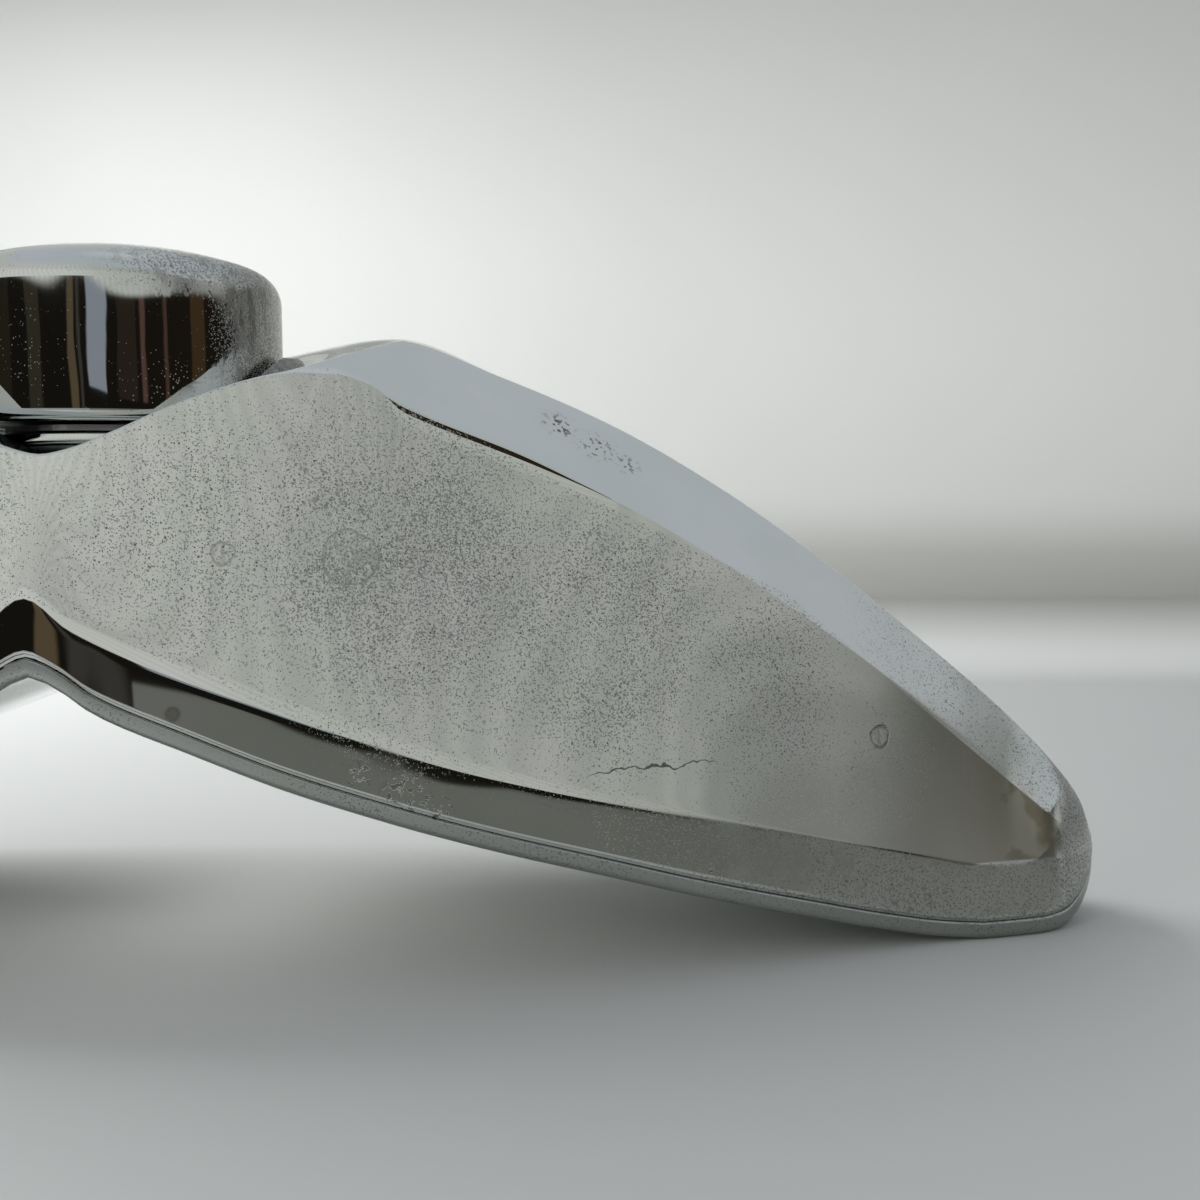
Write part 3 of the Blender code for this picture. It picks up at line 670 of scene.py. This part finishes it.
def crack_line(graph, place, side, depth, height):
    """Thin wavy crack on the front of the right wing."""
    near = graph.times(graph.span_mm(side, CRACK_FROM - 1, CRACK_FROM + 2),
                       graph.span_mm(side, CRACK_TO + 1, CRACK_TO - 3),
                       graph.span_mm(depth, 0.0, -1.0))
    wavy = graph.times(graph.minus(graph.noise(place, 160.0, 3.0), 0.5), CRACK_WANDER * MM)
    off = graph.math("ABSOLUTE", graph.minus(graph.plus(height, wavy), CRACK_HEIGHT * MM))
    return graph.times(graph.span_mm(off, 0.16, 0.05), near)


def wing_marks(graph, place, side, depth, height):
    """Dark marks: the crack, black spots, clusters of deep pits and water rings."""
    specks = graph.span(graph.noise(place, 1000.0, 2.0, 0.6), 0.55, 0.60)
    clusters = graph.times(specks, patches(graph, place, HEAVY_PITS))
    return graph.most(crack_line(graph, place, side, depth, height),
                      patches(graph, place, BLACK_SPOTS),
                      graph.times(clusters, 1.1),
                      graph.times(water_rings(graph, place, WATER_RINGS), 0.45))


def wing_wear_and_shade(graph, place):
    """Wear of the wings, and painted shade: dense etching in the scoops, frost and tarnish at the tips,
    and a painted brown shade deepening towards the scoops' closed ends.
    """
    side, depth, height = graph.split(place)
    along = graph.math("ABSOLUTE", side)
    folded = graph.join(along, graph.times(graph.math("ABSOLUTE", depth), -1.0), height)
    bevel, above_rim = wing_faces(graph, along, height)

    clean_rim = graph.times(graph.outside(above_rim), graph.span_mm(along, *CLEAN_RIM, 0.3, 0.9))
    worn = graph.outside(clean_rim)
    open_face = graph.times(worn, graph.outside(graph.times(bevel, 0.85)))
    uneven = graph.clouds(place, 55.0, 3.0, 0.32, 0.62)
    smeared = graph.times(patches(graph, folded, SMEARS), open_face)
    etched = graph.times(smeared, graph.plus(graph.times(uneven, 0.35), 0.6))
    everywhere = graph.times(graph.clouds(place, 30.0, 2.0, 0.35, 0.65, 0.1, 0.38), open_face)
    density = graph.plus(everywhere, graph.times(smeared, 0.55))

    cloudy = graph.clouds(place, 90.0, 4.0, 0.35, 0.65, 0.6, 1.0)
    skirt = graph.times(graph.span_mm(along, *RIM_FROST), graph.minus(0.8, graph.times(above_rim, 0.8)))
    ridge = graph.times(graph.span_mm(along, *RIDGE_FROST), 0.45, bevel)
    frost = graph.most(graph.span_mm(along, *TIP_FROST), skirt, ridge)
    faint = graph.clouds(place, 70.0, 3.0, 0.55, 0.8, 0.0, 0.25)
    haze = graph.most(graph.times(frost, cloudy), graph.times(faint, worn))
    density = graph.most(density, graph.times(frost, 0.55))
    etched = graph.most(etched, graph.times(frost, 0.75))

    stained = graph.clouds(place, 150.0, 3.0, 0.3, 0.6, 0.35, 0.9)
    tarnish = graph.times(graph.outside(bevel), stained, graph.span_mm(along, *TARNISH))
    # painted shade: a smooth brown darkening that grows towards the scoop's closed end, less where frosted
    unfrosted = graph.minus(0.75, graph.times(frost, 0.75))
    scoop_painted_shade = graph.times(graph.span_mm(along, *SCOOP_PAINTED_SHADE), unfrosted, graph.outside(bevel))
    in_scoop = graph.times(above_rim, graph.span_mm(along, *SCOOP_END))
    # brown holds real tarnish, rust and frost tint, and the painted shade of the scoop
    brown = graph.most(graph.times(graph.most(tarnish, scoop_painted_shade), in_scoop),
                       patches(graph, place, RUST_SPOTS), graph.times(skirt, 0.3))
    return density, etched, haze, wing_marks(graph, place, side, depth, height), brown


def cover_wear(graph, place):
    """Wear of the underside cover: light pitting, frosted towards the feet."""
    along = graph.math("ABSOLUTE", graph.split(place)[0])
    frost = graph.times(graph.span_mm(along, *COVER_FROST),
                        graph.clouds(place, 80.0, 3.0, 0.35, 0.6, 0.5, 0.9))
    density = graph.plus(graph.clouds(place, 40.0, 2.0, 0.4, 0.7, 0.1, 0.45), graph.times(frost, 0.2))
    etched = graph.times(density, 0.8)
    haze = graph.times(frost, 0.6)
    no_marks, no_brown = 0.0, 0.0
    return density, etched, haze, no_marks, no_brown


def cap_wear_and_shade(graph, place):
    """Wear of the cap, and painted shade: sparse pits on top, heavy run-down streaks on one side, and a
    painted brown shade on that side.
    """
    side, depth, height = graph.split(place)
    flank = graph.times(graph.span_mm(side, 18.5, 24.0), graph.span_mm(depth, 16, 4))
    shoulder = graph.times(graph.span_mm(side, 2, 18), graph.span_mm(height, 104, 110))
    worn = graph.most(flank, graph.times(shoulder, 0.9))
    runs = graph.noise(graph.stretch(place, (1.0, 1.0, 0.28)), 620.0, 3.0, 0.6)
    marks = graph.times(graph.span(runs, 0.5, 0.62), worn, 0.7)
    density = graph.most(graph.clouds(place, 60.0, 2.0, 0.35, 0.7, 0.08, 0.36), graph.times(worn, 0.8))
    haze = graph.plus(graph.times(worn, 0.3), graph.clouds(place, 90.0, 3.0, 0.55, 0.8, 0.0, 0.12))
    etched = graph.times(worn, 0.9)
    # painted shade: a brown tint darkens the flank, on top of its real streaks and pits
    brown = graph.times(flank, 0.4)
    return density, etched, haze, marks, brown


# ---- pieces -----------------------------------------------------------------------------
def paint(piece, material):
    """Give a piece one material all over."""
    piece.data.materials.clear()
    piece.data.materials.append(material)


def cut_pocket(wing):
    """Round saddle pocket that is open upwards."""
    bm = bmesh.new()
    high = CAP_TOP + 5
    profile = [(0.0, POCKET_FLOOR), (POCKET_RADIUS, POCKET_FLOOR), (POCKET_RADIUS, high), (0.0, high)]
    turned(bm, profile, ROUND_SIDES)
    combine(wing, bm, "DIFFERENCE")


def add_boss(wing):
    """Boss in the pocket, with a seal groove, a flared foot, a column and a bore."""
    ceiling = POCKET_FLOOR - WALL
    groove = BOSS_TOP - GROOVE_DEPTH
    profile = [(BORE_RADIUS, COLUMN_BOTTOM), (COLUMN_RADIUS, COLUMN_BOTTOM),
               (COLUMN_RADIUS, ceiling), (BOSS_FOOT_RADIUS, ceiling)]
    profile += arc((BOSS_FOOT_RADIUS, BOSS_TOP), BOSS_FOOT_RADIUS - BOSS_TOP_RADIUS, 270, 184, 12)
    profile += arc((BOSS_TOP_RADIUS - BOSS_TOP_EDGE, BOSS_TOP - BOSS_TOP_EDGE), BOSS_TOP_EDGE, 0, 90, 3)
    profile += [(GROOVE_OUTER, BOSS_TOP), (GROOVE_OUTER, groove), (GROOVE_INNER, groove),
                (GROOVE_INNER, BOSS_TOP), (BORE_RADIUS, BOSS_TOP)]
    bm = bmesh.new()
    turned(bm, profile, ROUND_SIDES)
    combine(wing, bm, "UNION")
    bm = bmesh.new()
    rod(bm, BORE_RADIUS, COLUMN_BOTTOM - 2, CAP_TOP, 96)
    combine(wing, bm, "DIFFERENCE")


def build_wing():
    """Fine casting with its filleted scoops, saddle pocket and boss."""
    bm = bmesh.new()
    loft(bm, wing_rings(wing_outline, stations(1.3)))
    wing = make_object("wing_casting", bm)
    bm = bmesh.new()
    loft(bm, wing_rings(cavity_outline, list(range(0, CAVITY_END + 1, CAVITY_STEP))))
    combine(wing, bm, "DIFFERENCE")
    cut_pocket(wing)
    add_boss(wing)
    smooth_shade(wing.data, SHARP_ANGLE)
    paint(wing, old_chrome("wing_chrome_plate", (0.675, 0.685, 0.665), wing_wear_and_shade))
    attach(wing, "grip")
    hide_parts("wing_shell")


def cover_outline(x):
    """Fine cross-section of the underside cover at distance x, front half, top first."""
    low = bottom(x)
    high = low + COVER_THICK
    rim = rim_depth(x) - COVER_INSET
    soft = min(COVER_ROUND, rim * 0.3)
    points = [(0.0, high), (rim - COVER_EDGE, high), (rim, high - COVER_EDGE)]
    points += arc((rim - soft, low + soft), soft, 0, -90, 8)
    points.append((0.0, low))
    return points


def build_cover():
    """Fine underside cover with a rounded lower edge, screw pads, holes and seats."""
    places = [x for x in stations(2.6) if x < HALF_SPAN - 0.4]
    bm = bmesh.new()
    loft(bm, wing_rings(cover_outline, places))
    cover = make_object("closing_cover", bm)
    for radius, low, high, operation in ((PAD_RADIUS, PAD_LOW, PAD_TOP, "UNION"),
                                         (SCREW_HOLE_RADIUS, -2.0, 8.0, "DIFFERENCE"),
                                         (SCREW_SEAT_RADIUS, -4.0, SCREW_SEAT_DEPTH, "DIFFERENCE")):
        for spot in [side * place for side in (-1, 1) for place in SCREW_PLACES]:
            level = bottom(abs(spot))
            bm = bmesh.new()
            rod(bm, radius, level + low, level + high, 48, (spot, 0.0))
            combine(cover, bm, operation)
    smooth_shade(cover.data, SHARP_ANGLE)
    paint(cover, old_chrome("cover_chrome_plate", (0.38, 0.39, 0.37), cover_wear))
    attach(cover, "grip")
    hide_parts("underside_cover")


def cap_profile():
    """Half section of the cap, as a closed (radius, height) outline."""
    shoulder = CAP_TOP - CAP_CROWN
    profile = [(CAP_RADIUS - CAP_WALL, CAP_BOTTOM + 0.2)]
    profile += arc((CAP_RADIUS - CAP_LIP, CAP_BOTTOM + CAP_LIP), CAP_LIP, 270, 360, 10)
    profile += arc((CAP_RADIUS - CAP_TOP_ROUND, shoulder - CAP_TOP_ROUND), CAP_TOP_ROUND,
                   0, CAP_TOP_TURN, 22)
    crown_radius, crown_foot = profile[-1]
    for i in range(CROWN_STEPS - 1, -1, -1):
        radius = crown_radius * i / CROWN_STEPS
        profile.append((radius, CAP_TOP - (CAP_TOP - crown_foot) * (radius / crown_radius) ** 2))
    inside = CAP_RADIUS - CAP_WALL
    roof = shoulder - CAP_WALL
    corner = CAP_TOP_ROUND - CAP_WALL
    profile.append((0.0, roof))
    profile += arc((inside - corner, roof - corner), corner, 90, 0, 8)
    return profile


def build_cap():
    """Fine round cap: crowned top, wide top rounding, small lower lip."""
    bm = bmesh.new()
    turned(bm, cap_profile(), ROUND_SIDES)
    cap = make_object("cap_cup", bm)
    smooth_shade(cap.data, 40)
    paint(cap, old_chrome("cap_chrome_plate", (0.66, 0.67, 0.66), cap_wear_and_shade, CAP_RIPPLES))
    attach(cap, "cap")
    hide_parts("cap_shell")


def dull_metal(name, tint, rough):
    """Plated or turned small part with fine brushing and specks."""
    material, graph, place, shader = new_material(name)
    grain = graph.noise(graph.stretch(place, (1.0, 1.0, 12.0)), 500.0, 3.0)
    dark = [bright * 0.7 for bright in tint]
    graph.link(graph.mix(grain, (*tint, 1.0), (*dark, 1.0)), shader.inputs["Base Color"])
    graph.link(graph.span(grain, 0.3, 0.7, rough - 0.08, rough + 0.12), shader.inputs["Roughness"])
    shader.inputs["Metallic"].default_value = 1.0
    graph.link(graph.bump(grain, 0.3, 0.1 * MM), shader.inputs["Normal"])
    return material


def rubber(name):
    """Matt black seal rubber."""
    material, graph, place, shader = new_material(name)
    grain = graph.noise(place, 900.0, 4.0)
    colour = graph.mix(grain, (0.015, 0.015, 0.015, 1.0), (0.05, 0.05, 0.048, 1.0))
    graph.link(colour, shader.inputs["Base Color"])
    graph.link(graph.span(grain, 0.3, 0.7, 0.6, 0.85), shader.inputs["Roughness"])
    return material


def dress_small_parts():
    """Better materials for the CAD nodes that keep their own shape."""
    finish = {"plate_steel": dull_metal("plate_steel_finish", (0.55, 0.55, 0.54), 0.35),
              "fastener_steel": dull_metal("fastener_zinc_finish", (0.62, 0.62, 0.60), 0.3),
              "bearing_brass": dull_metal("turned_brass_finish", (0.70, 0.54, 0.28), 0.3),
              "seal_rubber": rubber("seal_rubber_finish")}
    for part in frame["record"]["subparts"]:
        slot = part["material_slot"]
        if slot in finish:
            paint(frame["nodes"][part["node"]], finish[slot])


# ---- stage, in millimetres --------------------------------------------------------------
SHEET_FRONT = -1600.0
SHEET_BACK = 650.0
SHEET_HALF_WIDTH = 2200.0
SHEET_TOP = 520.0
SHEET_COVE = 30.0          # radius of the fold between the floor and the back wall
FOLD_SHADE_FROM = 220      # painted shade: the floor darkens from here back to the fold, and the wall from here down to it
FOLD_SHADE_TOP = 75        # and the wall from here down to it
PAPER = (0.78, 0.79, 0.77, 1.0)
LIGHT_PAPER = (0.81, 0.82, 0.80, 1.0)
SHADED_PAPER = (0.30, 0.30, 0.27, 1.0)


def paper():
    """Pale matt paper with faint clouds, and painted shade darkening it along the fold at the back."""
    material, graph, place, shader = new_material("sheet_paper")
    plain = graph.mix(graph.clouds(place, 3.0, 2.0, 0.3, 0.7), PAPER, LIGHT_PAPER)
    depth, height = graph.split(place)[1:]
    # painted shade: the paper darkens towards the fold, where the floor meets the back wall
    fold = graph.times(graph.span_mm(depth, FOLD_SHADE_FROM, SHEET_BACK),
                       graph.span_mm(height, FOLD_SHADE_TOP, 0.0), 0.7)
    graph.link(graph.mix(fold, plain, SHADED_PAPER), shader.inputs["Base Color"])
    shader.inputs["Roughness"].default_value = 0.7
    shader.inputs["Specular IOR Level"].default_value = 0.2
    return material


def build_floor():
    """Plain pale sheet: a floor that sweeps up into a back wall well behind the object."""
    profile = [(SHEET_FRONT, 0.0)]
    profile += arc((SHEET_BACK - SHEET_COVE, SHEET_COVE), SHEET_COVE, 270, 360, 16)
    profile.append((SHEET_BACK, SHEET_TOP))
    bm = bmesh.new()
    left, right = [[bm.verts.new((side * SHEET_HALF_WIDTH, y, z)) for y, z in profile] for side in (-1, 1)]
    for i in range(len(profile) - 1):
        bm.faces.new((left[i], right[i], right[i + 1], left[i + 1]))
    sheet = make_object("studio_sheet", bm)
    smooth_shade(sheet.data, 60)
    paint(sheet, paper())


# Tent wall round the object: turn in degrees from the front, and brightness.
TENT_LEVELS = ((-180, 0.72), (-110, 0.66), (-25, 0.72), (0, 0.64), (15, 0.59), (32, 0.56),
               (48, 0.44), (57, 0.27), (63, 0.20), (72, 0.34), (95, 0.50), (180, 0.72))
TENT_TINT = (1.0, 1.02, 0.975)
TENT_RIBS = 95.0           # waves of the folds in the tent per radian of turn
TENT_CORNER = (0.53, 0.56, 0.59, 1.0)
TENT_ROOF = (0.54, 0.58, 0.63, 1.0)
TENT_TOP = (0.66, 0.69, 0.73, 1.0)
# Dark room in front of the tent, and its uprights: turn and half width in degrees, and colour.
ROOM_LEFT = (0.009, 0.008, 0.006, 1.0)
ROOM_RIGHT = (0.012, 0.009, 0.006, 1.0)
UPRIGHTS = ((-72, 7, (0.020, 0.016, 0.011)), (-46, 5, (0.035, 0.030, 0.020)),
            (-17, 2.2, (0.10, 0.075, 0.045)), (-11.5, 0.8, (0.05, 0.045, 0.04)),
            (0, 6, (0.28, 0.30, 0.35)), (20, 6, (0.026, 0.019, 0.014)),
            (31, 1.2, (0.10, 0.055, 0.045)), (47, 1.0, (0.07, 0.04, 0.03)),
            (72, 5, (0.05, 0.03, 0.015)))
ROOM_TOP = (10.4, 9.6)     # rise of the tent's front edge, in degrees, over which the room ends
ROOM_REACH = (118, 106)    # turn to either side over which it ends
PLAIN_BACKDROP = (0.62, 0.63, 0.61, 1.0)
DIFFUSE_LOSS = 0.44        # the world lights the matt surfaces this much less


def span_degrees(graph, value, low, high):
    """Smoothly map an angle, with its limits in degrees, to 0..1."""
    return graph.span(value, math.radians(low), math.radians(high))


def tent_ramp(graph, turn):
    """Colour of the tent's wall at a turn, in radians from the front."""
    node = graph.node("ShaderNodeValToRGB")
    ramp = node.color_ramp
    while len(ramp.elements) < len(TENT_LEVELS):
        ramp.elements.new(0.5)
    for element, (angle, level) in zip(ramp.elements, TENT_LEVELS):
        element.position = (angle + 180) / 360
        element.color = (*[level * share for share in TENT_TINT], 1.0)
    graph.link(graph.span_linear(turn, -math.pi, math.pi), node.inputs[0])
    return node.outputs[0]


def tent(graph, turn, rise):
    """Pale ribbed walls, a brighter corner on the right, and a bluish roof."""
    corner = graph.most(
        graph.times(span_degrees(graph, rise, 24, 32), span_degrees(graph, turn, 36, 50)),
        graph.times(span_degrees(graph, rise, 20, 25), span_degrees(graph, turn, 59, 66)))
    slanted = graph.plus(turn, graph.times(rise, 0.35))
    ribs = graph.math("SINE", graph.times(slanted, TENT_RIBS))
    dimmed = graph.outside(graph.times(span_degrees(graph, rise, 22, 32), 0.14))
    walls = graph.node("ShaderNodeVectorMath", operation="SCALE")
    graph.link(tent_ramp(graph, turn), walls.inputs[0])
    graph.link(graph.plus(dimmed, graph.times(ribs, 0.05)), walls.inputs["Scale"])
    colour = graph.mix(corner, walls.outputs[0], TENT_CORNER)
    colour = graph.mix(span_degrees(graph, rise, 36, 48), colour, TENT_ROOF)
    return graph.mix(span_degrees(graph, rise, 66, 88), colour, TENT_TOP)


def dark_room(graph, direction, turn):
    """Dark room with a pale pillar and a few brown uprights."""
    room = graph.mix(span_degrees(graph, turn, -60, 80), ROOM_LEFT, ROOM_RIGHT)
    wobble = graph.times(graph.minus(graph.noise(direction, 9.0, 2.0), 0.5), 0.07)
    bent = graph.plus(turn, wobble)
    for centre, half, colour in UPRIGHTS:
        away = graph.math("ABSOLUTE", graph.minus(bent, math.radians(centre)))
        inside = span_degrees(graph, away, half + 1.0, half - 0.5)
        room = graph.mix(inside, room, (*colour, 1.0))
    return room


def build_world():
    """Pale tent all round; in front of it, mirrors also see the opening to a dark room."""
    world = bpy.data.worlds.new("studio")
    bpy.context.scene.world = world
    world.use_nodes = True
    graph = Graph(world.node_tree)
    direction = graph.node("ShaderNodeTexCoord").outputs["Generated"]
    east, north, up = graph.split(direction)
    turn = graph.math("ARCTAN2", east, graph.times(north, -1.0))
    rise = graph.math("ARCSINE", up)
    front = span_degrees(graph, graph.math("ABSOLUTE", turn), *ROOM_REACH)
    opening = graph.times(span_degrees(graph, rise, *ROOM_TOP), front)
    mirrored = graph.mix(opening, tent(graph, turn, rise), dark_room(graph, direction, turn))
    ray = graph.node("ShaderNodeLightPath").outputs
    seen = graph.mix(ray["Is Camera Ray"], mirrored, PLAIN_BACKDROP)
    strength = graph.outside(graph.times(ray["Is Diffuse Ray"], DIFFUSE_LOSS))
    back = world.node_tree.nodes["Background"]
    graph.link(seen, back.inputs["Color"])
    graph.link(strength, back.inputs["Strength"])


CARD_RADIUS = 420.0
CARD_CENTRE = 80.0         # to the right of the object's middle
CARD_FROM = -17.5          # turn of the card's ends from the front, in degrees
CARD_TO = 115.0
CARD_STEPS = 48
CARD_GREY_TOP = 70.0
CARD_TOP = 102.0
CARD_GREY = (0.165, 0.168, 0.155, 1.0)
CARD_BLACK = (0.009, 0.008, 0.006, 1.0)


def card_paint():
    """Self-lit paint of the card, grey below and black above."""
    material = bpy.data.materials.new("grey_card")
    material.use_nodes = True
    graph = Graph(material.node_tree)
    height = graph.split(graph.node("ShaderNodeTexCoord").outputs["Object"])[2]
    black = graph.span_mm(height, CARD_GREY_TOP, CARD_GREY_TOP + 2)
    glow = graph.node("ShaderNodeEmission")
    graph.link(graph.mix(black, CARD_GREY, CARD_BLACK), glow.inputs["Color"])
    graph.link(glow.outputs[0], material.node_tree.nodes["Material Output"].inputs["Surface"])
    return material


def build_front_card():
    """Low grey card with a black upper edge, round the front; only the chrome can see it."""
    bm = bmesh.new()
    rows = []
    for i in range(CARD_STEPS + 1):
        turn = math.radians(CARD_FROM + (CARD_TO - CARD_FROM) * i / CARD_STEPS)
        x, y = CARD_CENTRE + CARD_RADIUS * math.sin(turn), -CARD_RADIUS * math.cos(turn)
        rows.append([bm.verts.new((x, y, z)) for z in (0.0, CARD_TOP)])
    for left, right in zip(rows, rows[1:]):
        bm.faces.new((left[0], right[0], right[1], left[1]))
    card = make_object("front_card", bm)
    paint(card, card_paint())
    card.visible_camera = False
    card.visible_diffuse = False
    card.visible_shadow = False


# Soft panels: name, place in metres, tilt in degrees, width and depth in metres, watts.
PANELS = (("floor_pool", (-0.28, 0.24, 0.44), 0, 0.40, 0.40, 2.2),
          ("left_fill", (-0.16, -0.22, 0.17), 55, 0.16, 0.08, 0.12),
          ("under_arch", (0.02, 0.0, 0.034), 0, 0.03, 0.03, 0.0035),
          ("wall_glow", (0.20, 0.22, 0.20), 100, 1.30, 0.14, 1.4))


def build_lights():
    """Soft panels that light the floor and the wall but don't show in the chrome."""
    for name, place, tilt, width, depth, power in PANELS:
        data = bpy.data.lights.new(name, "AREA")
        data.shape = "RECTANGLE"
        data.size = width
        data.size_y = depth
        data.energy = power
        lamp = bpy.data.objects.new(name, data)
        lamp.location = place
        lamp.rotation_euler = (math.radians(tilt), 0, 0)
        lamp.visible_glossy = False
        lamp.visible_camera = False
        bpy.context.scene.collection.objects.link(lamp)


CAMERA_PLACE = (0.0809, -0.209, 0.075)       # in metres
CAMERA_DIP = 5.24                            # degrees below level
CAMERA_LENS = 36.0                           # focal length and sensor width, in millimetres
CAMERA_SENSOR = 36.0


def build_camera():
    """Low, close camera, in front of the right wing."""
    data = bpy.data.cameras.new("camera")
    data.lens = CAMERA_LENS
    data.sensor_width = CAMERA_SENSOR
    data.clip_start = 0.01
    camera = bpy.data.objects.new("camera", data)
    camera.location = CAMERA_PLACE
    camera.rotation_euler = (math.radians(90 - CAMERA_DIP), 0, 0)
    bpy.context.scene.collection.objects.link(camera)
    bpy.context.scene.camera = camera


bpy.context.scene.view_settings.view_transform = "Standard"
build_camera()
build_wing()
build_cover()
build_cap()
dress_small_parts()
build_floor()
build_world()
build_front_card()
build_lights()
